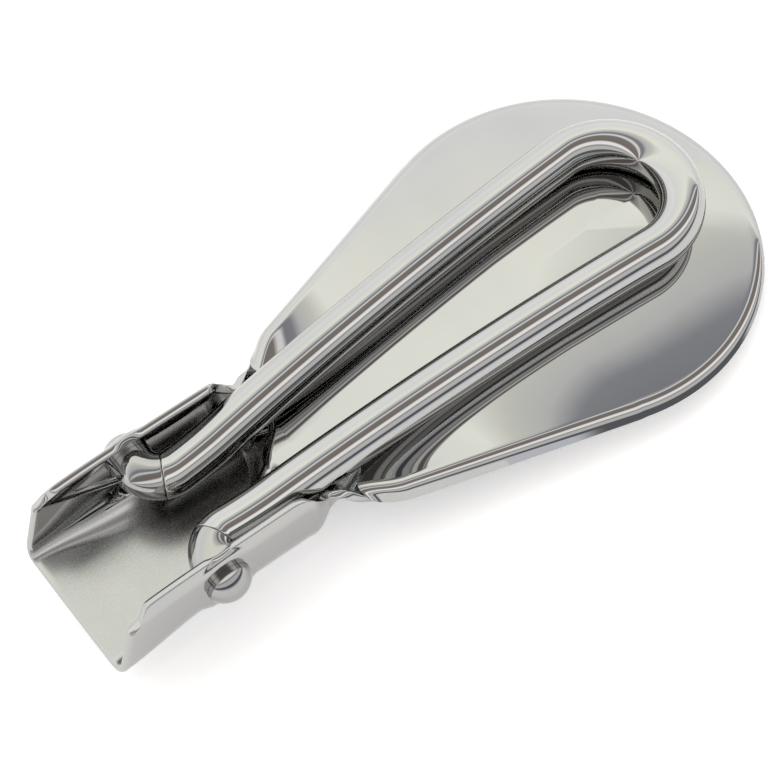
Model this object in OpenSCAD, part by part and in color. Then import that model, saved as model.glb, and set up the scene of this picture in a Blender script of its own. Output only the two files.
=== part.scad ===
// Pressed sheet fitting: an open channel tail that steps up into a domed,
// spoon-shaped plate, and a round-rod bail that swings on two elbowed pivot pins.
// Millimetres, +Z up, +X from the open tail to the tip of the plate.
// The shape is laid out with the channel floor level, then tipped forward so
// that the part rests on the heel of the channel and on the tip of the plate.

/* [Sheet] */
// Thickness of the pressed sheet
sheet_t = 1.5; // [1:0.1:2.5]
// Half width of the channel over its outside faces
channel_half_w = 14.7; // [12:0.1:18]
// Distance from the pivot line back to the open end of the channel
tail_l = 21.5; // [14:0.1:40]
// Bend radius of the bottom edges at the open end, to the sheet middle
corner_tail_r = 3; // [1.5:0.1:4]
// Bend radius of the bottom edges from the pivots forward, to the sheet middle
corner_neck_r = 7; // [3:0.1:7.5]
// Height of the wall crease from the pivots forward
crease_h = 14.3; // [13:0.1:18]
// Drop of the wall crease at the open end
crease_drop = 1.6; // [0:0.1:5]
// Length of the inward leaning lip above the crease
lip_l = 2.6; // [0:0.1:3.5]
// Inward lean of the lip, degrees from the wall
lip_lean = 28; // [0:1:32]
// Radius of the flat pad around each pivot hole
pad_r = 6.6; // [5.5:0.1:9]

/* [Plate] */
// Radius of the rounded tip of the plate
fan_r = 34.5; // [25:0.5:45]
// Distance from the pivot line to the centre of the rounded tip
fan_x = 82.5; // [70:0.1:100]
// Angle of each straight flank to the centre line, degrees
flank_a = 17.5; // [10:0.5:25]
// Height of the rim middle at the neck
rim_neck_h = 11.2; // [8:0.1:12]
// Height of the rim middle at the tip
rim_tip_h = 12.6; // [10:0.1:14]
// Depth of the turned-down rim at the neck
rim_turn = 2.6; // [1:0.1:4]
// Distance from the free edge back to the start of the turned-down rim
rim_back = 2.6; // [1.5:0.1:4]

/* [Bail] */
// Radius of the round rod
rod_r = 4; // [3:0.1:4.5]
// Height of the pivot line above the underside of the channel
pivot_h = 9.9; // [8:0.05:12]
// Distance from the centre line to each leg at the pivot line
leg_y = 6.7; // [6:0.1:7.5]
// Bend radius of the elbows
elbow_r = 4.8; // [4.2:0.1:6]
// Angle by which each leg spreads from the centre line, degrees
leg_spread = 3.6; // [1:0.1:6]
// Angle by which each leg turns upward past its elbow, degrees
leg_rise = 12.5; // [6:0.1:14]
// Radius of that upward turn
rise_r = 45; // [20:1:60]
// Radius of the long downward arch of the legs
arch_r = 380; // [350:2:600]
// Angle of the long arch, degrees
arch_a = 11.6; // [8:0.1:13]
// How far each pin end stands out of the wall
pin_out = 3.4; // [1.5:0.1:6]
// Height of the rounded end of each pin
dome_h = 2.4; // [0.5:0.1:3]
// Radial running clearance of the pins in the walls
run_gap = 0.06; // [0.01:0.01:0.1]

/* [Hidden] */
$fn = 64;
tip_angle = 6.258;           // forward tip from the layout to the resting pose
origin_x = 47.953;           // tipped layout point that becomes the middle of the part
origin_z = -1.9121;
rest_gap = 0.45;            // space between the resting bail and the plate
seam_a = 30;                // part of each elbow bend that belongs to the leg
spigot_r = 1.8;             // peg that ties each elbow pin to its leg
spigot_l = 3.6;
half_t = sheet_t / 2;
wall_y = channel_half_w - half_t;
heel_x = 15.2;              // start of the step on the centre line
ramp_l = 4.4;               // run of the step on the centre line
step_sweep = 2.5;           // how far forward the step starts at the walls, and how much longer it is
sweep_y = 7;                // the sweep of the step ends this far from the centre line
corner_run = 18;            // length over which the bottom edge bend widens
// Stretches over which the side changes from wall to rim: [start, length]
flare = [16, 17];           // the floor edge spreads into the flank
tighten = [17, 9.5];        // the bend shortens
cut_down = [16, 7];         // the wall loses its height
turn_over = [20.5, 9.5];    // the side turns from upright to downward
lip_fade = [14, 9];         // the lip narrows to nothing
lip_grow = 7.5;             // length over which the lip widens from the open end
end_lean = 0.28;            // how far the walls lean forward at the open end, for each mm of height
lean_from = 1.5;            // height at which that lean starts
lean_run = 9;               // length over which it fades
neck_x = 28;                // where the flank of the plate begins
plate_x = 34;               // from here on the side is only the turned-down rim
neck_fold = -62;            // turn of the rim at the neck, degrees
tip_fold = -38;             // turn of the rim at the tip
join_x = 13;                // end of the plain channel sections
plate_from = 24;            // the crown is level with this section from here back
edge_min = 0.3;             // length of the lip strip where there is no lip
rim_bend = 1.8;             // length of the bend between plate and rim
rim_end = 0.2;              // depth of the rim past its bend at the tip
centre_from = fan_x - 12;   // centre line reach of the fanned sections at the tip
centre_to = fan_x + 10;
dome_p = 2.2;               // how flat the plate is across its middle

// Steps along the part, in three stretches, and across the sheet
tail_n = 9;
step_n = 28;
flank_n = 12;
tip_n = 16;
floor_n = 8;
bend_n = 4;
wall_n = 2;
lip_n = 2;

function clamp01(v) = min(1, max(0, v));
function smooth(v) = let (c = clamp01(v)) c * c * (3 - 2 * c);
function mix(a, b, f) = a + (b - a) * f;
function over(x, stretch) = smooth((x - stretch[0]) / stretch[1]);

// Run of each leg: elbow, upward turn, long arch. Each start is measured along
// the leg from the pivot line, on the level
bend_a = 90 + leg_spread;
elbow_y = leg_y + elbow_r * (1 + sin(leg_spread)) * tan(leg_spread) + elbow_r * cos(leg_spread);
leg_x0 = elbow_r * (1 + sin(leg_spread));
leg_y0 = elbow_y - elbow_r * cos(leg_spread);
arch_x0 = rise_r * sin(leg_rise);
arch_z0 = rise_r * (1 - cos(leg_rise));
leg_reach = arch_x0 + arch_r * (sin(leg_rise) - sin(leg_rise - arch_a));
leg_top = arch_z0 + arch_r * (cos(leg_rise - arch_a) - cos(leg_rise));

// Legs over the layout plane: height and distance from the centre line
function rod_z(x) = let (d = (x - leg_x0) / cos(leg_spread)) pivot_h + (d < 0 ? 0
    : d < arch_x0 ? rise_r * (1 - cos(asin(d / rise_r)))
    : arch_z0 + arch_r * (cos(asin(sin(leg_rise) - (d - arch_x0) / arch_r)) - cos(leg_rise)));
function rod_y(x) = leg_y + x * tan(leg_spread);

// Outline of the plate
tangent_x = fan_x - fan_r * sin(flank_a);
function flank_y(x) = fan_r * cos(flank_a) - tan(flank_a) * (tangent_x - x);
function rim_z(x) = mix(rim_neck_h, rim_tip_h, (x - neck_x) / (fan_x + fan_r - neck_x));

// Bend radius of the bottom edge and distance of the floor edge from the centre line
function corner_r(x) = mix(corner_tail_r, corner_neck_r, smooth((x + tail_l) / corner_run));
function side_y(x) = mix(wall_y - corner_r(x), flank_y(x) - rim_back, over(x, flare));

// Height of the plate on the centre line, set so that the legs just clear it
function crown_z(x) = let (c = max(plate_from, min(x, centre_to - 6)), f = pow(rod_y(c) / dome_w(c), dome_p))
    (rod_z(c) - rod_r - half_t - rest_gap - rim_z(c) * f) / (1 - f);
function dome_w(x) = flank_y(min(x, tangent_x)) - rim_back;

// Section line i of the sheet: [centre x, edge x, edge y, turn of the line]
last = tail_n + step_n + flank_n + tip_n;
function station(i) =
    i < tail_n ? let (x = mix(-tail_l, join_x, i / tail_n)) [x, x, side_y(x)]
    : i < tail_n + step_n ? let (x = mix(join_x, plate_x, (i - tail_n) / step_n)) [x, x, side_y(x)]
    : i < tail_n + step_n + flank_n ? let (f = (i - tail_n - step_n) / flank_n)
        [mix(plate_x, centre_from, f), mix(plate_x, tangent_x, f), side_y(mix(plate_x, tangent_x, f))]
    : let (f = (i - tail_n - step_n - flank_n) / tip_n, a = (90 + flank_a) * (1 - f))
        [mix(centre_from, centre_to, f), fan_x + (fan_r - rim_back) * cos(a), (fan_r - rim_back) * sin(a)];

// Turn of the sheet at its side: up into the wall, or down into the rim
function far(x) = (x - plate_x) / (fan_x + fan_r - plate_x);
function fold(x) = x < plate_x ? mix(90, neck_fold, over(x, turn_over)) : mix(neck_fold, tip_fold, far(x));
function bend_len(x) = mix(corner_r(x) * PI / 2, rim_bend, over(x, tighten));
function crease_z(x) = crease_h - crease_drop * pow(clamp01(-x / tail_l), 2.5);
function wall_len(x) = x < plate_x
    ? mix(crease_z(x) - corner_r(x) - half_t, rim_turn - 1, over(x, cut_down))
    : mix(rim_turn - 1, rim_end, far(x));
function lip_len(x) = lip_l * smooth((x + tail_l) / lip_grow) * (1 - over(x, lip_fade));

// Height of the floor or plate at distance r from the centre line of section s
function step_f(x, y) = let (sweep = step_sweep * smooth(y / sweep_y))
    smooth((x - heel_x - sweep) / (ramp_l + sweep));
function sheet_z(s, f, y) = let (g = s[1] < tangent_x ? y / dome_w(s[1]) : f)
    mix(half_t, mix(crown_z(s[0]), rim_z(s[1]), pow(g, dome_p)), step_f(mix(s[0], s[1], f), y));

// Walk along the sheet past the floor edge: [outward, height, heading]
side_n = bend_n + wall_n + lip_n;
function side_turn(x, k, h0) = k < bend_n ? (fold(x) - h0) / bend_n : k == bend_n + wall_n ? lip_lean : 0;
function side_run(x, k) = k < bend_n ? bend_len(x) / bend_n
    : k < bend_n + wall_n ? wall_len(x) / wall_n : (lip_len(x) + edge_min) / lip_n;
function walk(x, h0, k) = k == 0 ? [0, 0, h0]
    : let (p = walk(x, h0, k - 1), t = side_turn(x, k - 1, h0), d = side_run(x, k - 1),
           a = p[2] + (k <= bend_n ? t / 2 : t))
      [p[0] + d * cos(a), p[1] + d * sin(a), p[2] + t];

// Middle surface point j of section i, j = 0 on the centre line
cols = floor_n + side_n;
function mid_row(i) = let (s = station(i), w = norm([s[1] - s[0], s[2]]), u = [(s[1] - s[0]) / w, s[2] / w],
        z1 = sheet_z(s, 1, s[2]), z0 = sheet_z(s, 1 - 1 / floor_n, s[2] * (1 - 1 / floor_n)),
        h0 = atan2(z1 - z0, w / floor_n))
    concat([for (j = [0:floor_n - 1]) let (f = j / floor_n)
            [mix(s[0], s[1], f), s[2] * f, sheet_z(s, f, s[2] * f)]],
        [for (k = [0:side_n]) let (p = walk(s[1], h0, k))
            [s[1] + u[0] * p[0], s[2] + u[1] * p[0], z1 + p[1]]]);
function lean(p) = let (run = max(0, p[2] - lean_from) * (1 - smooth((p[0] + tail_l) / lean_run)))
    [p[0] + end_lean * run, p[1], p[2]];
rows = [for (i = [0:last]) [for (p = mid_row(i)) lean(p)]];

// Grid point with mirror symmetry across the centre line and past the tip
function grid(i, j) = j < 0 ? mirror_y(grid(i, -j))
    : i > last ? mirror_y(grid(2 * last - i, j)) : rows[max(0, i)][j];
function mirror_y(p) = [p[0], -p[1], p[2]];
function unit(v) = v / norm(v);
function normal(i, j) = i == last && j == 0 ? normal(i, 1)
    : unit(cross(grid(i + 1, j) - grid(i - 1, j), grid(i, min(cols, j + 1)) - grid(i, j - 1)));
function skin(side) = [for (i = [0:last]) for (j = [-cols:cols])
    let (p = grid(i, abs(j)) + side * half_t * normal(i, abs(j)))
    [p[0], j < 0 ? -p[1] : j == 0 || i == last ? 0 : p[1], p[2]]];

span = 2 * cols + 1;
count = (last + 1) * span;
// The last section lies on the centre line, so its two halves share their points
function at(i, j) = i * span + cols + (i == last ? abs(j) : j);
function quad(a, b, c, d) = [[a, b, c], [a, c, d]];

module sheet() {
    top = skin(1);
    under = skin(-1);
    polyhedron(concat(top, under), [
        for (i = [0:last - 1]) for (j = [-cols:cols - 1])
            each quad(at(i, j), at(i, j + 1), at(i + 1, j + 1), at(i + 1, j)),
        for (i = [0:last - 1]) for (j = [-cols:cols - 1])
            each quad(count + at(i, j), count + at(i + 1, j),
                count + at(i + 1, j + 1), count + at(i, j + 1)),
        for (i = [0:last - 1])
            each quad(at(i, -cols), at(i + 1, -cols), count + at(i + 1, -cols), count + at(i, -cols)),
        for (i = [0:last - 1])
            each quad(at(i, cols), count + at(i, cols), count + at(i + 1, cols), at(i + 1, cols)),
        for (j = [-cols:cols - 1])
            each quad(at(0, j), count + at(0, j), count + at(0, j + 1), at(0, j + 1))]);
}

// Loop: its plane holds the ends of both legs
end_rise = leg_rise - arch_a;
loop_tilt = atan2(sin(end_rise), cos(leg_spread) * cos(end_rise));
loop_spread = asin(sin(leg_spread) * cos(end_rise));
loop_r = (leg_y0 + leg_reach * sin(leg_spread)) / cos(loop_spread);
dome_r = (rod_r * rod_r + dome_h * dome_h) / (2 * dome_h);

// Everything below is placed in the resting pose
module rest() translate([-origin_x, 0, -origin_z]) rotate([0, tip_angle, 0]) children();
module on_pivot() translate([0, 0, pivot_h]) children();
// Middle line of half the bail from its seam to the end of the loop: [point, direction]
function in_leg(d, h, t) = [[leg_x0 + d * cos(leg_spread), leg_y0 + d * sin(leg_spread), h],
    [cos(t) * cos(leg_spread), cos(t) * sin(leg_spread), sin(t)]];
function in_elbow(a) = [[elbow_r + elbow_r * cos(a), elbow_y + elbow_r * sin(a), 0], [-sin(a), cos(a), 0]];
function in_loop(a) = let (e = [cos(loop_tilt), 0, sin(loop_tilt)])
    [[leg_x0 + leg_reach * cos(leg_spread), 0, leg_top]
        + loop_r * ((sin(loop_spread) + cos(a)) * e + [0, sin(a), 0]),
     sin(a) * e - [0, cos(a), 0]];
half_line = concat([for (i = [0:3]) in_elbow(180 + bend_a - seam_a * (1 - i / 4))],
    [for (i = [0:4]) let (t = leg_rise * i / 5) in_leg(rise_r * sin(t), rise_r * (1 - cos(t)), t)],
    [for (i = [0:15]) let (t = leg_rise - arch_a * i / 16)
        in_leg(arch_x0 + arch_r * (sin(leg_rise) - sin(t)), arch_z0 + arch_r * (cos(t) - cos(leg_rise)), t)],
    [for (i = [0:14]) in_loop((90 + loop_spread) * (1 - i / 15))]);
half_count = len(half_line);
rod_line = concat(half_line, [in_loop(0)],
    [for (i = [half_count - 1:-1:0]) let (q = half_line[i]) [mirror_y(q[0]), -mirror_y(q[1])]]);
rod_sides = 32;

module swept_rod() {
    n = len(rod_line);
    polyhedron([for (q = rod_line) let (b = unit(cross(q[1], [0, 0, 1])), up = cross(b, q[1]))
        for (k = [0:rod_sides - 1]) let (a = k * 360 / rod_sides)
            q[0] + rod_r * (cos(a) * b + sin(a) * up)],
        concat([[for (k = [0:rod_sides - 1]) k]],
        [[for (k = [rod_sides - 1:-1:0]) (n - 1) * rod_sides + k]],
        [for (i = [0:n - 2]) for (k = [0:rod_sides - 1]) let (a = i * rod_sides, m = (k + 1) % rod_sides)
            each quad(a + k, a + rod_sides + k, a + rod_sides + m, a + m)]));
}

module rod_arc(r, a) rotate_extrude(angle = a, $fn = 96) translate([r, 0]) circle(r = rod_r, $fn = 64);

// Puts its children on the cut face of the far elbow, z along the rod into the leg
module at_seam() translate([elbow_r, elbow_y, 0]) rotate([0, 0, 180 + bend_a - seam_a])
    translate([elbow_r, 0, 0]) rotate([-90, 0, 0]) children();

module body() color("#c9c9c7") rest() difference() {
    union() {
        sheet();
        for (s = [-1, 1]) on_pivot() translate([0, s * wall_y, 0]) rotate([90, 0, 0])
            cylinder(r = pad_r, h = sheet_t + 0.02, center = true);
    }
    on_pivot() rotate([90, 0, 0]) cylinder(r = rod_r + run_gap, h = 4 * channel_half_w, center = true);
}

module bail_loop() color("#d2d2d0") rest() on_pivot() difference() {
    swept_rod();
    at_seam() cylinder(r = spigot_r, h = spigot_l);
    mirror([0, 1, 0]) at_seam() cylinder(r = spigot_r, h = spigot_l);
}

// Far elbow pin: rounded end, journal through the wall, bend and peg
module elbow_pin() {
    translate([elbow_r, elbow_y, 0]) rotate([0, 0, 180]) rod_arc(elbow_r, bend_a - seam_a);
    at_seam() translate([0, 0, -1]) cylinder(r = spigot_r, h = spigot_l + 0.7);
    straight = channel_half_w + pin_out - dome_h - elbow_y;
    translate([0, elbow_y, 0]) rotate([-90, 0, 0]) {
        cylinder(r = rod_r, h = straight);
        intersection() {
            cylinder(r = rod_r, h = straight + dome_h);
            translate([0, 0, straight + dome_h - dome_r]) sphere(r = dome_r);
        }
    }
}

module pin_near() color("#b9b9b7") rest() on_pivot() mirror([0, 1, 0]) elbow_pin();
module pin_far() color("#b9b9b7") rest() on_pivot() elbow_pin();

body();
bail_loop();
pin_near();
pin_far();
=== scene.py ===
# Polished pressed-sheet fitting with a swinging rod bail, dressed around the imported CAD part.
import math

import bmesh
import bpy
import numpy as np
from mathutils import Matrix, Vector


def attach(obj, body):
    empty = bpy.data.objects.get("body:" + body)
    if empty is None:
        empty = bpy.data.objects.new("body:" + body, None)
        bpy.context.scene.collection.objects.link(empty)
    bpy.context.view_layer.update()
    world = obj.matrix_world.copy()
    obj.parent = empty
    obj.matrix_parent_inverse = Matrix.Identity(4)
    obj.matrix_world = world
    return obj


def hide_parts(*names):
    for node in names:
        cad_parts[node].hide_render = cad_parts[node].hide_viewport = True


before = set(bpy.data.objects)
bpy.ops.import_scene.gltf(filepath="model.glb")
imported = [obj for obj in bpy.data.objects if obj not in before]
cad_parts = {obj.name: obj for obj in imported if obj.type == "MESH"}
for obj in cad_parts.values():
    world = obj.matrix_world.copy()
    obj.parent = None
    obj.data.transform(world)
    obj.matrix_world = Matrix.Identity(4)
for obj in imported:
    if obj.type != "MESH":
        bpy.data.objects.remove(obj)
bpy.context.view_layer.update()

MM = 0.001

# ---------------------------------------------------------------- layout of the part, millimetres
# The shape is laid out with the channel floor level and then tipped forward, as in the CAD.
TIP = math.radians(6.258)
ORIGIN_X, ORIGIN_Z = 47.953, -1.9121
SHEET_T = 1.5
HALF_T = SHEET_T / 2
CHANNEL_HALF_W = 14.7
WALL_Y = CHANNEL_HALF_W - HALF_T
TAIL_L = 21.5
CORNER_TAIL_R, CORNER_NECK_R, CORNER_RUN = 3.0, 7.0, 18
CREASE_H, CREASE_DROP = 14.3, 1.6  # height of the lip's crease, and its drop at the open end
LIP_L, LIP_TRIM = 2.6, 0.08        # widest lip, and the length taken off it
NECK_X, PLATE_X, JOIN_X, PLATE_FROM = 28, 34, 13, 24
RIM_NECK_H, RIM_TIP_H = 11.2, 12.6
RIM_BEND, RIM_NECK_L, RIM_END = 1.8, 1.6, 0.2
NECK_FOLD, TIP_FOLD = -62, -38     # turn of the rim, degrees
HEEL_X, RAMP_L, STEP_SWEEP, SWEEP_Y = 15.2, 4.4, 2.5, 7
FAN_R, FAN_X, FLANK = 34.5, 82.5, math.radians(17.5)
RIM_BACK = 2.6
TANGENT_X = FAN_X - FAN_R * math.sin(FLANK)
CENTRE_FROM, CENTRE_TO = FAN_X - 12, FAN_X + 10
DOME_P = 2.2
ROD_R = 4.0
PIVOT_H = 9.9
LEG_Y, ELBOW_R, SPREAD = 6.7, 4.8, math.radians(3.6)
RISE, RISE_R, ARCH_R, ARCH = math.radians(12.5), 45.0, 380.0, math.radians(11.6)
PIN_OUT, DOME_H = 3.4, 2.4
SEAM = math.radians(30)
PAD_R = 6.6
PAD_FADE = 0.9                     # width over which the pad runs out into the wall
REST_GAP = 0.45                    # space between the resting bail and the plate
RUN_GAP = 0.06                     # running clearance of the pins in the walls


def to_row(p):
    """Layout point or points in millimetres to the row frame in metres."""
    p = np.asarray(p, float)
    c, s = math.cos(TIP), math.sin(TIP)
    x, y, z = p[..., 0], p[..., 1], p[..., 2]
    return np.stack([x * c + z * s - ORIGIN_X, y, -x * s + z * c - ORIGIN_Z], -1) * MM


def turn_to_row(v):
    c, s = math.cos(TIP), math.sin(TIP)
    return np.array([v[0] * c + v[2] * s, v[1], -v[0] * s + v[2] * c])


def smooth(v):
    c = np.clip(v, 0, 1)
    return c * c * (3 - 2 * c)


def mix(a, b, f):
    return a + (b - a) * f


# ---------------------------------------------------------------- rod line
ELBOW_Y = LEG_Y + ELBOW_R * (1 + math.sin(SPREAD)) * math.tan(SPREAD) + ELBOW_R * math.cos(SPREAD)
LEG_X0 = ELBOW_R * (1 + math.sin(SPREAD))
LEG_Y0 = ELBOW_Y - ELBOW_R * math.cos(SPREAD)
ARCH_X0 = RISE_R * math.sin(RISE)
ARCH_Z0 = RISE_R * (1 - math.cos(RISE))
END = RISE - ARCH
REACH = ARCH_X0 + ARCH_R * (math.sin(RISE) - math.sin(END))
LEG_TOP = ARCH_Z0 + ARCH_R * (math.cos(END) - math.cos(RISE))
LOOP_TILT = math.atan2(math.sin(END), math.cos(SPREAD) * math.cos(END))
LOOP_SPREAD = math.asin(math.sin(SPREAD) * math.cos(END))
LOOP_R = (LEG_Y0 + REACH * math.sin(SPREAD)) / math.cos(LOOP_SPREAD)


def rod_z(x):
    d = (np.asarray(x, float) - LEG_X0) / math.cos(SPREAD)
    turn = RISE_R * (1 - np.sqrt(1 - np.clip(d / RISE_R, 0, 0.9) ** 2))
    a = np.clip(math.sin(RISE) - (d - ARCH_X0) / ARCH_R, -0.9, 0.9)
    arch = ARCH_Z0 + ARCH_R * (np.sqrt(1 - a * a) - math.cos(RISE))
    return PIVOT_H + np.where(d < 0, 0, np.where(d < ARCH_X0, turn, arch))


def rod_y(x):
    return LEG_Y + x * math.tan(SPREAD)


# ---------------------------------------------------------------- sheet
def flank_y(x):
    return FAN_R * math.cos(FLANK) - math.tan(FLANK) * (TANGENT_X - x)


def dome_w(x):
    return flank_y(np.minimum(x, TANGENT_X)) - RIM_BACK


def rim_z(x):
    return mix(RIM_NECK_H, RIM_TIP_H, (x - NECK_X) / (FAN_X + FAN_R - NECK_X))


def crown_z(x):
    c = np.clip(x, PLATE_FROM, CENTRE_TO - 6)
    f = (rod_y(c) / dome_w(c)) ** DOME_P
    return (rod_z(c) - ROD_R - HALF_T - REST_GAP - rim_z(c) * f) / (1 - f)


# stretches over which the side changes from wall to rim: start, length
FLARE, TIGHTEN, CUT_DOWN, TURN_OVER, LIP_FADE = (16, 17), (17, 9.5), (16, 7), (20.5, 9.5), (14, 9)
LIP_GROW = 7.5


def over(x, stretch):
    return smooth((x - stretch[0]) / stretch[1])


def step_f(x, y):
    sweep_on = STEP_SWEEP * smooth(y / SWEEP_Y)
    return smooth((x - HEEL_X - sweep_on) / (RAMP_L + sweep_on))


def corner_r(x):
    return mix(CORNER_TAIL_R, CORNER_NECK_R, smooth((x + TAIL_L) / CORNER_RUN))


def side_y(x):
    return mix(WALL_Y - corner_r(x), flank_y(x) - RIM_BACK, over(x, FLARE))


def far_f(x):
    return (x - PLATE_X) / (FAN_X + FAN_R - PLATE_X)


def fold(x):
    wall_to_rim = mix(90, NECK_FOLD, over(x, TURN_OVER))
    return np.radians(np.where(x < PLATE_X, wall_to_rim, mix(NECK_FOLD, TIP_FOLD, far_f(x))))


def bend_len(x):
    return mix(corner_r(x) * math.pi / 2, RIM_BEND, over(x, TIGHTEN))


def wall_len(x):
    crease = CREASE_H - CREASE_DROP * np.clip(-x / TAIL_L, 0, 1) ** 2.5
    wall = mix(crease - corner_r(x) - HALF_T, RIM_NECK_L, over(x, CUT_DOWN))
    return np.where(x < PLATE_X, wall, mix(RIM_NECK_L, RIM_END, far_f(x)))


def lip_len(x):
    return LIP_L * smooth((x + TAIL_L) / LIP_GROW) * (1 - over(x, LIP_FADE)) - LIP_TRIM


def section_lines():
    """Section lines of the sheet: centre x, edge x, edge y."""
    rows = [(x, x, side_y(x)) for x in np.linspace(-TAIL_L + HALF_T, JOIN_X, 70, endpoint=False)]
    rows += [(x, x, side_y(x)) for x in np.linspace(JOIN_X, PLATE_X, 150, endpoint=False)]
    for f in np.linspace(0, 1, 70, endpoint=False):
        x = mix(PLATE_X, TANGENT_X, f)
        rows.append((mix(PLATE_X, CENTRE_FROM, f), x, side_y(x)))
    r = FAN_R - RIM_BACK
    for f in np.linspace(0, 1, 110):
        a = (math.pi / 2 + FLANK) * (1 - f)
        rows.append((mix(CENTRE_FROM, CENTRE_TO, f), FAN_X + r * math.cos(a), r * math.sin(a)))
    return np.array(rows)


FLOOR_N, BEND_N, WALL_N, CREASE_N, LIP_N = 64, 14, 14, 8, 6
CREASE_L = 1.1
EDGE_BULGE = 0.25   # how far the free edge rounds out, as a share of the half thickness
END_LEAN, LEAN_FROM, LEAN_RUN = 0.28, 1.5, 9
LIP_LEAN = math.radians(28)
EDGE_N, TAIL_N = 7, 6
SATIN_H, SATIN_TO = 3.2, 21


def mid_grid():
    """Middle surface of the half y >= 0, rows of points from the centre line to the free edge."""
    s = section_lines()
    cx, ex, ey = s[:, 0:1], s[:, 1:2], s[:, 2:3]
    f = np.linspace(0, 1, FLOOR_N + 1)[None, :]
    x, y = mix(cx, ex, f), ey * f
    g = np.where(ex < TANGENT_X, y / dome_w(ex), f * np.ones_like(ex))
    top = mix(crown_z(cx), rim_z(ex), g**DOME_P)
    z = mix(HALF_T, top, step_f(x, y))
    w = np.hypot(ex - cx, ey)
    ux, uy = (ex - cx) / w, ey / w
    h0 = np.arctan2(z[:, -1:] - z[:, -2:-1], w / FLOOR_N)
    # heading after each short step of the walk past the floor edge
    lip = np.maximum(lip_len(ex) - CREASE_L, 0.02)
    lens = np.concatenate([np.repeat(bend_len(ex) / BEND_N, BEND_N, 1),
                           np.repeat(wall_len(ex) / WALL_N, WALL_N, 1),
                           np.full((len(s), CREASE_N), CREASE_L / CREASE_N),
                           np.repeat(lip / LIP_N, LIP_N, 1)], 1)
    short = np.clip(lip_len(ex) / CREASE_L, 0, 1)
    lens[:, BEND_N + WALL_N:BEND_N + WALL_N + CREASE_N] *= short
    turn = np.concatenate([np.repeat((fold(ex) - h0) / BEND_N, BEND_N, 1),
                           np.zeros((len(s), WALL_N)),
                           np.repeat(LIP_LEAN * short / CREASE_N, CREASE_N, 1),
                           np.zeros((len(s), LIP_N))], 1)
    heading = h0 + np.cumsum(turn, 1) - turn / 2
    out = np.cumsum(lens * np.cos(heading), 1)
    up = np.cumsum(lens * np.sin(heading), 1)
    px = np.concatenate([x, ex + ux * out], 1)
    py = np.concatenate([y, ey + uy * out], 1)
    pz = np.concatenate([z, z[:, -1:] + up], 1)
    p = np.stack([px, py, pz], -1)
    # the open end of the channel leans: its upper corners stand a little further forward
    fade = 1 - smooth((p[..., 0] + TAIL_L) / LEAN_RUN)
    p[..., 0] += END_LEAN * np.maximum(p[..., 2] - LEAN_FROM, 0) * fade
    return p


def pad_press(p):
    """Presses the lip back into the wall plane over the round pad of each pivot hole."""
    r = np.hypot(p[..., 0], p[..., 2] - PIVOT_H)
    m = (1 - smooth((r - PAD_R + 0.55) / PAD_FADE)) * (p[..., 2] > 4) * (p[..., 1] > 8)
    p[..., 1] = mix(p[..., 1], WALL_Y, m)
    return p


def grid_normals(p):
    """Normals of the half grid, with mirror symmetry across the centre line and past the tip."""
    left = p[:, 1:2] * [1, -1, 1]
    across = np.concatenate([left, p, p[:, -1:]], 1)
    dj = across[:, 2:] - across[:, :-2]
    beyond = p[-2:-1] * [1, -1, 1]
    along = np.concatenate([p[:1], p, beyond], 0)
    di = along[2:] - along[:-2]
    n = np.cross(di, dj)
    n[-1, 0] = n[-1, 1]
    return n / np.linalg.norm(n, axis=-1, keepdims=True)


def build_sheet():
    p = pad_press(mid_grid())
    n = grid_normals(p)
    rows, cols = p.shape[:2]
    out = p[:, -1] - p[:, -2]
    out /= np.linalg.norm(out, axis=-1, keepdims=True)
    rings = []

    def ring(pi, ni, oi, t):
        half = [pi[j] + ni[j] * t for j in range(cols)]
        for k in range(1, EDGE_N):
            a = math.pi * k / EDGE_N
            half.append(pi[-1] + ni[-1] * t * math.cos(a) + oi * t * math.sin(a) * EDGE_BULGE)
        half += [pi[j] - ni[j] * t for j in range(cols - 1, -1, -1)]
        half = np.array(half)
        other = half[1:-1][::-1] * [1, -1, 1]
        return np.concatenate([half, other], 0)

    back = np.array([-1.0, 0, 0])
    for k in range(TAIL_N, 0, -1):
        a = math.pi / 2 * k / TAIL_N
        thin = max(HALF_T * math.cos(a), 0.004)
        rings.append(ring(p[0] + back * HALF_T * math.sin(a), n[0], out[0], thin))
    for i in range(rows):
        rings.append(ring(p[i], n[i], out[i], HALF_T))
    ring_n = len(rings[0])
    verts = np.concatenate(rings, 0)
    faces = []
    for i in range(len(rings) - 1):
        a, b = i * ring_n, (i + 1) * ring_n
        for k in range(ring_n):
            m = (k + 1) % ring_n
            faces.append((a + k, a + m, b + m, b + k))
    # close the thin rounded end of the channel
    half_n = 2 * cols + EDGE_N - 1
    for j in range(cols - 1):
        faces.append((j, half_n - 1 - j, half_n - 2 - j, j + 1))
    for j in range(cols - 1):
        faces.append(((ring_n - j) % ring_n, ring_n - j - 1, half_n + j, half_n - 1 + j))
    mesh = bpy.data.meshes.new("sheet")
    mesh.from_pydata([tuple(v) for v in to_row(verts)], [], faces)
    # the satin area is the upper face of the channel floor
    inner = np.zeros(len(verts), np.float32)
    top = np.zeros(ring_n, bool)
    top[:cols] = True
    top[half_n:] = True
    flat = (verts[:, 2] < SATIN_H) & (verts[:, 0] < SATIN_TO) & np.tile(top, len(rings))
    inner[flat] = 1.0
    attr = mesh.attributes.new("satin", "FLOAT", "POINT")
    attr.data.foreach_set("value", inner)
    bm = bmesh.new()
    bm.from_mesh(mesh)
    bmesh.ops.remove_doubles(bm, verts=bm.verts, dist=2e-6)
    bmesh.ops.recalc_face_normals(bm, faces=bm.faces)
    bm.to_mesh(mesh)
    bm.free()
    return finish_mesh(mesh, "sheet_body")


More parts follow.
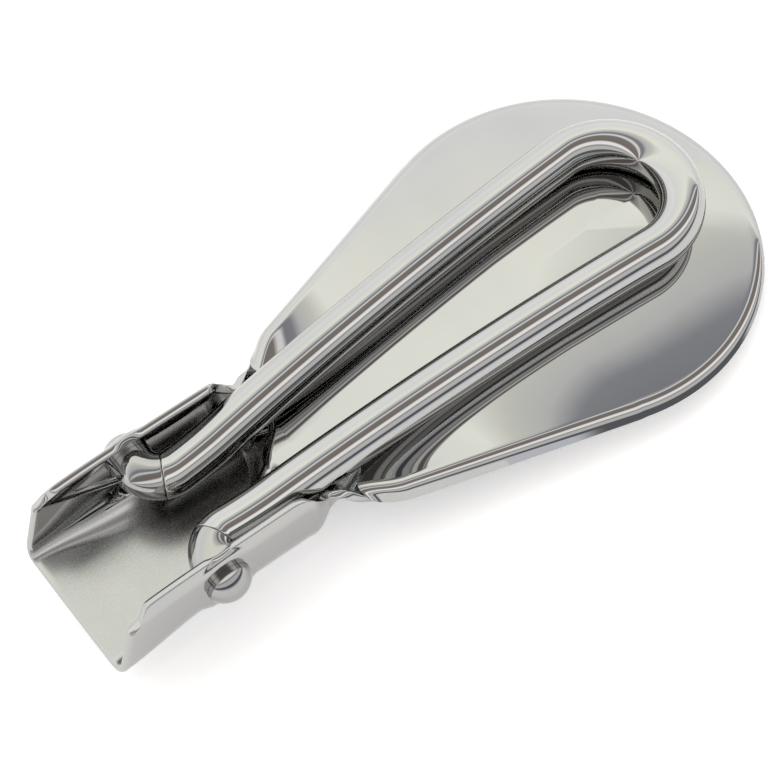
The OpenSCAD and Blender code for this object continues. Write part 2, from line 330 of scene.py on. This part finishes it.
def finish_mesh(mesh, name):
    for poly in mesh.polygons:
        poly.use_smooth = True
    obj = bpy.data.objects.new(name, mesh)
    bpy.context.scene.collection.objects.link(obj)
    return obj


# ---------------------------------------------------------------- rod pieces
def in_elbow(a):
    return ((ELBOW_R + ELBOW_R * math.cos(a), ELBOW_Y + ELBOW_R * math.sin(a), 0),
            (-math.sin(a), math.cos(a), 0))


def in_leg(d, h, t):
    return ((LEG_X0 + d * math.cos(SPREAD), LEG_Y0 + d * math.sin(SPREAD), h),
            (math.cos(t) * math.cos(SPREAD), math.cos(t) * math.sin(SPREAD), math.sin(t)))


def in_loop(a):
    e = np.array([math.cos(LOOP_TILT), 0, math.sin(LOOP_TILT)])
    c = np.array([LEG_X0 + REACH * math.cos(SPREAD), 0, LEG_TOP])
    p = c + LOOP_R * ((math.sin(LOOP_SPREAD) + math.cos(a)) * e + np.array([0, math.sin(a), 0]))
    return tuple(p), tuple(math.sin(a) * e - np.array([0, math.cos(a), 0]))


BEND = math.pi / 2 + SPREAD
SEAM_AT = math.pi + BEND - SEAM


def half_line():
    """Centre line of one leg and half the loop, from the seam at the elbow."""
    out = [in_elbow(SEAM_AT + SEAM * i / 12) for i in range(12)]
    for t in np.linspace(0, RISE, 24, endpoint=False):
        out.append(in_leg(RISE_R * math.sin(t), RISE_R * (1 - math.cos(t)), t))
    for q in np.linspace(0, ARCH, 120, endpoint=False):
        t = RISE - q
        out.append(in_leg(ARCH_X0 + ARCH_R * (math.sin(RISE) - math.sin(t)),
                          ARCH_Z0 + ARCH_R * (math.cos(t) - math.cos(RISE)), t))
    out += [in_loop(a) for a in np.linspace(math.pi / 2 + LOOP_SPREAD, 0, 60, endpoint=False)]
    return out


def sweep(line, name, sides=72):
    """Round rod along [point, direction, radius], closed at both ends."""
    verts, faces = [], []
    for q in line:
        p, d = np.array(q[0], float), np.array(q[1], float)
        r = q[2] if len(q) > 2 else ROD_R
        d /= np.linalg.norm(d)
        b = np.cross(d, [0, 0, 1.0])
        b /= np.linalg.norm(b)
        u = np.cross(b, d)
        for k in range(sides):
            a = 2 * math.pi * k / sides
            verts.append(p + [0, 0, PIVOT_H] + r * (math.cos(a) * b + math.sin(a) * u))
    n = len(line)
    for i in range(n - 1):
        for k in range(sides):
            m = (k + 1) % sides
            faces.append((i * sides + k, (i + 1) * sides + k, (i + 1) * sides + m, i * sides + m))
    faces.append(tuple(range(sides)))
    faces.append(tuple((n - 1) * sides + k for k in range(sides - 1, -1, -1)))
    mesh = bpy.data.meshes.new(name)
    mesh.from_pydata([tuple(v) for v in to_row(np.array(verts))], [], faces)
    bm = bmesh.new()
    bm.from_mesh(mesh)
    bmesh.ops.recalc_face_normals(bm, faces=bm.faces)
    bm.to_mesh(mesh)
    bm.free()
    return finish_mesh(mesh, name)


def seam_round(line, r=0.22):
    """Rounded shoulder at the start of a rod line, from the end face inward."""
    p, d = np.array(line[0][0], float), np.array(line[0][1], float)
    d /= np.linalg.norm(d)
    rings = [(tuple(p + d * 0.02), tuple(d), ROD_R - r - 0.25)]
    for k in range(5):
        a = math.pi / 2 * k / 4
        rings.append((tuple(p + d * (0.02 + r * (1 - math.cos(a)))), tuple(d), ROD_R - r + r * math.sin(a)))
    return rings


def build_bail():
    half = half_line()
    start = seam_round(half)
    mirrored = [((p[0], -p[1], p[2]), (-d[0], d[1], -d[2])) for p, d in reversed(half[2:])]
    end = [((p[0], -p[1], p[2]), (-d[0], d[1], -d[2]), r) for p, d, r in reversed(start)]
    return sweep(start + half[2:] + [in_loop(0)] + mirrored + end, "bail_rod")


def build_pin(side, name):
    """Pivot pin and elbow of one leg, up to the seam: side is -1 for the near one."""
    line = []
    straight = CHANNEL_HALF_W + PIN_OUT - DOME_H - ELBOW_Y
    dome_r = (ROD_R**2 + DOME_H**2) / (2 * DOME_H)
    # from the rounded outer end inward
    for k in range(1, 15):
        r = ROD_R * math.sin(math.pi / 2 * k / 14)
        y = ELBOW_Y + straight + DOME_H - dome_r + math.sqrt(max(dome_r**2 - r**2, 0))
        line.append(((0, y, 0), (0, -1, 0), r if k < 14 else ROD_R))
    for f in np.linspace(0.02, 1, 14, endpoint=False):
        line.append(((0, ELBOW_Y + straight * (1 - f), 0), (0, -1, 0), ROD_R))
    stop = SEAM_AT - 0.2 / ELBOW_R
    for a in np.linspace(math.pi, stop, 40):
        p, d = in_elbow(a)
        line.append((p, d, ROD_R))
    p, d = in_elbow(SEAM_AT)
    p, d = np.array(p), np.array(d)
    for k in range(1, 5):
        a = math.pi / 2 * k / 4
        line.append((tuple(p - d * (0.02 + 0.18 * (1 - math.sin(a)))), tuple(d),
                     ROD_R - 0.18 * (1 - math.cos(a))))
    line.append((tuple(p - d * 0.02), tuple(d), ROD_R - 0.45))
    if side < 0:
        line = [((p[0], -p[1], p[2]), (d[0], -d[1], d[2]), r) for p, d, r in line]
    return sweep(line, name)


# ---------------------------------------------------------------- materials
def nodes_of(name):
    mat = bpy.data.materials.new(name)
    mat.use_nodes = True
    t = mat.node_tree
    t.nodes.clear()
    out = t.nodes.new("ShaderNodeOutputMaterial")
    bsdf = t.nodes.new("ShaderNodeBsdfPrincipled")
    t.links.new(bsdf.outputs[0], out.inputs[0])
    return mat, t, bsdf


def noise(t, vec, scale, detail=3.0, rough=0.5):
    n = t.nodes.new("ShaderNodeTexNoise")
    n.inputs["Scale"].default_value = scale
    n.inputs["Detail"].default_value = detail
    n.inputs["Roughness"].default_value = rough
    t.links.new(vec, n.inputs["Vector"])
    return n.outputs["Fac"]


def spread(t, value, low, high, a=0.35, b=0.65):
    m = t.nodes.new("ShaderNodeMapRange")
    m.inputs["From Min"].default_value = a
    m.inputs["From Max"].default_value = b
    m.inputs["To Min"].default_value = low
    m.inputs["To Max"].default_value = high
    t.links.new(value, m.inputs["Value"])
    return m.outputs["Result"]


def math_node(t, op, a, b):
    m = t.nodes.new("ShaderNodeMath")
    m.operation = op
    for i, v in enumerate((a, b)):
        if isinstance(v, (int, float)):
            m.inputs[i].default_value = v
        else:
            t.links.new(v, m.inputs[i])
    return m.outputs[0]


def scaled(t, vec, scale):
    m = t.nodes.new("ShaderNodeMapping")
    m.inputs["Scale"].default_value = scale
    t.links.new(vec, m.inputs["Vector"])
    return m.outputs["Vector"]


def polished(name, tone, rough, wave, satin=False):
    """Polished metal: base tone, roughness, depth of the surface wave, and the satin area if any."""
    mat, t, bsdf = nodes_of(name)
    tex = t.nodes.new("ShaderNodeTexCoord")
    vec = tex.outputs["Object"]
    bsdf.inputs["Metallic"].default_value = 1.0
    # slow drift of tone, cool to warm
    ramp = t.nodes.new("ShaderNodeValToRGB")
    ramp.color_ramp.elements[0].position = 0.3
    ramp.color_ramp.elements[0].color = (*[c * 0.95 for c in tone], 1)
    ramp.color_ramp.elements[1].position = 0.7
    ramp.color_ramp.elements[1].color = (tone[0] * 1.02, tone[1] * 1.01, tone[2] * 0.99, 1)
    t.links.new(noise(t, vec, 60, 4), ramp.inputs["Fac"])
    t.links.new(ramp.outputs["Color"], bsdf.inputs["Base Color"])
    # polish: faint handling haze and fine buffing lines along the part
    haze = spread(t, noise(t, vec, 180, 5), rough * 0.6, rough * 1.6)
    lines = spread(t, noise(t, scaled(t, vec, (40, 900, 900)), 1.0, 2), 0.0, rough * 0.5)
    r = math_node(t, "ADD", haze, lines)
    height = math_node(t, "MULTIPLY", noise(t, vec, 70, 2), wave)
    fine = math_node(t, "MULTIPLY", noise(t, scaled(t, vec, (200, 3000, 3000)), 1.0, 3), wave * 0.006)
    height = math_node(t, "ADD", height, fine)
    if satin:
        at = t.nodes.new("ShaderNodeAttribute")
        at.attribute_name = "satin"
        grain = noise(t, scaled(t, vec, (2500, 6000, 6000)), 1.0, 4, 0.6)
        dull = math_node(t, "MULTIPLY", at.outputs["Fac"], spread(t, grain, 0.21, 0.27))
        r = math_node(t, "ADD", r, dull)
        rub = math_node(t, "MULTIPLY", math_node(t, "MULTIPLY", grain, at.outputs["Fac"]), wave * 0.05)
        height = math_node(t, "ADD", height, rub)
    t.links.new(r, bsdf.inputs["Roughness"])
    bump = t.nodes.new("ShaderNodeBump")
    bump.inputs["Strength"].default_value = 1.0
    bump.inputs["Distance"].default_value = 1.0
    t.links.new(height, bump.inputs["Height"])
    t.links.new(bump.outputs["Normal"], bsdf.inputs["Normal"])
    return mat


steel_sheet = polished("polished_sheet", (0.42, 0.42, 0.418), 0.018, 0.000010, satin=True)
steel_rod = polished("polished_rod", (0.43, 0.43, 0.428), 0.015, 0.000003)
steel_pin = polished("polished_pin", (0.36, 0.36, 0.358), 0.05, 0.00001)

sheet = build_sheet()
bail = build_bail()
pin_near = build_pin(-1, "elbow_pin_near")
pin_far = build_pin(1, "elbow_pin_far")

# one cutter, right across the channel, makes the two pivot holes
CUTTER_Y, CUTTER_SIDES = 18.0, 144
cutter = sweep([((0, y, 0), (0, 1, 0), ROD_R + RUN_GAP) for y in (-CUTTER_Y, CUTTER_Y)],
               "hole_cutter", CUTTER_SIDES)
cut = sheet.modifiers.new("holes", "BOOLEAN")
cut.operation = "DIFFERENCE"
cut.solver = "EXACT"
cut.object = cutter
bpy.context.view_layer.update()
holed = bpy.data.meshes.new_from_object(sheet.evaluated_get(bpy.context.evaluated_depsgraph_get()))
sheet.modifiers.clear()
sheet.data = holed
bpy.data.objects.remove(cutter)

for obj, mat, body, node, slot in ((sheet, steel_sheet, "shell", "body", "polished_sheet"),
                                   (bail, steel_rod, "bail", "bail_loop", "polished_rod"),
                                   (pin_near, steel_pin, "bail", "pin_near", "polished_pin"),
                                   (pin_far, steel_pin, "bail", "pin_far", "polished_pin")):
    obj.data.materials.clear()
    obj.data.materials.append(mat)
    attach(obj, body)
    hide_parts(node)

# CAD nodes keep a real finish as well
for node, mat in (("body", steel_sheet), ("bail_loop", steel_rod),
                  ("pin_near", steel_pin), ("pin_far", steel_pin)):
    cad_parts[node].data.materials.clear()
    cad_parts[node].data.materials.append(mat)

# ---------------------------------------------------------------- camera
AZ, EL, ROLL = math.radians(-36.394), math.radians(58.298), math.radians(-1.283)
DIST, SHIFT_X, SHIFT_Y = 382.29, -33.796, -26.827
back = np.array([math.sin(AZ) * math.cos(EL), -math.cos(AZ) * math.cos(EL), math.sin(EL)])
right = np.array([math.cos(AZ), math.sin(AZ), 0])
up = np.cross(back, right)
right, up = (math.cos(ROLL) * right + math.sin(ROLL) * up, -math.sin(ROLL) * right + math.cos(ROLL) * up)
place = to_row(back * DIST - SHIFT_X * right - SHIFT_Y * up)
r_, u_, b_ = turn_to_row(right), turn_to_row(up), turn_to_row(back)
cam_data = bpy.data.cameras.new("camera")
cam_data.lens = 107.5
cam_data.sensor_width = 36
cam_data.clip_start = 0.01
cam = bpy.data.objects.new("camera", cam_data)
cam.matrix_world = Matrix(((r_[0], u_[0], b_[0], place[0]), (r_[1], u_[1], b_[1], place[1]),
                           (r_[2], u_[2], b_[2], place[2]), (0, 0, 0, 1)))
bpy.context.scene.collection.objects.link(cam)
bpy.context.scene.camera = cam

# ---------------------------------------------------------------- stage
def card(name, centre, normal, size, shader):
    """A flat card facing the part."""
    mesh = bpy.data.meshes.new(name)
    w, h = size[0] / 2, size[1] / 2
    mesh.from_pydata([(-w, -h, 0), (w, -h, 0), (w, h, 0), (-w, h, 0)], [], [(0, 1, 2, 3)])
    obj = bpy.data.objects.new(name, mesh)
    facing = Vector(normal).to_track_quat("Z", "Y").to_matrix().to_4x4()
    obj.matrix_world = Matrix.Translation(centre) @ facing
    bpy.context.scene.collection.objects.link(obj)
    obj.data.materials.append(shader)
    return obj


floor_mat, ft, fb = nodes_of("floor_paper")
fv = ft.nodes.new("ShaderNodeTexCoord").outputs["Object"]
fb.inputs["Roughness"].default_value = 0.9
fr = ft.nodes.new("ShaderNodeValToRGB")
fr.color_ramp.elements[0].color = (0.93, 0.93, 0.935, 1)
fr.color_ramp.elements[1].color = (0.95, 0.95, 0.95, 1)
ft.links.new(noise(ft, fv, 8, 4), fr.inputs["Fac"])
ft.links.new(fr.outputs["Color"], fb.inputs["Base Color"])
ft.links.new(fr.outputs["Color"], fb.inputs["Emission Color"])
fb.inputs["Emission Strength"].default_value = 0.35
card("floor", (0, 0, 0), (0, 0, 1), (6, 6), floor_mat)

# Softboxes overhead, as bands that run along the part. Each stop is the height of the band
# in degrees, from the near horizon over the top to the far one, and its light.
WHITE, CREAM, WARM, COOL = (1, 1, 1), (0.99, 1, 0.92), (1, 0.87, 0.80), (0.94, 0.97, 1.06)
SKY = [(0, 1.10, COOL), (6, 1.10, COOL), (8, 0.22, COOL), (19, 0.20, COOL),
       (22, 1.0, WHITE), (36, 1.0, WHITE), (42, 0.50, WARM), (47, 1.7, WHITE), (57, 1.7, WHITE),
       (63, 0.38, WARM), (83, 0.42, WARM), (87, 1.4, WHITE), (90, 1.4, WHITE),
       (93, 0.45, COOL), (98, 0.50, COOL), (102, 1.0, WHITE), (108, 1.2, CREAM), (114, 1.7, CREAM),
       (128, 1.6, CREAM), (140, 1.5, WHITE), (150, 1.6, WHITE), (180, 1.4, WHITE)]
SKY_FULL = 1.8


def studio_world():
    world = bpy.data.worlds.new("studio")
    world.use_nodes = True
    t = world.node_tree
    split = t.nodes.new("ShaderNodeSeparateXYZ")
    t.links.new(t.nodes.new("ShaderNodeTexCoord").outputs["Generated"], split.inputs[0])
    height = math_node(t, "ARCTAN2", split.outputs["Z"], math_node(t, "MULTIPLY", split.outputs["Y"], -1.0))
    ramp = t.nodes.new("ShaderNodeValToRGB")
    stops = ramp.color_ramp.elements
    for i, (angle, light, tint) in enumerate(SKY):
        stop = stops[i] if i < 2 else stops.new(angle / 180)
        stop.position = angle / 180
        stop.color = (*[light / SKY_FULL * c for c in tint], 1)
    t.links.new(math_node(t, "DIVIDE", height, math.pi), ramp.inputs["Fac"])
    back = t.nodes["Background"]
    back.inputs["Strength"].default_value = SKY_FULL
    t.links.new(ramp.outputs["Color"], back.inputs["Color"])
    return world


bpy.context.scene.world = studio_world()
bpy.context.scene.view_settings.view_transform = "Standard"
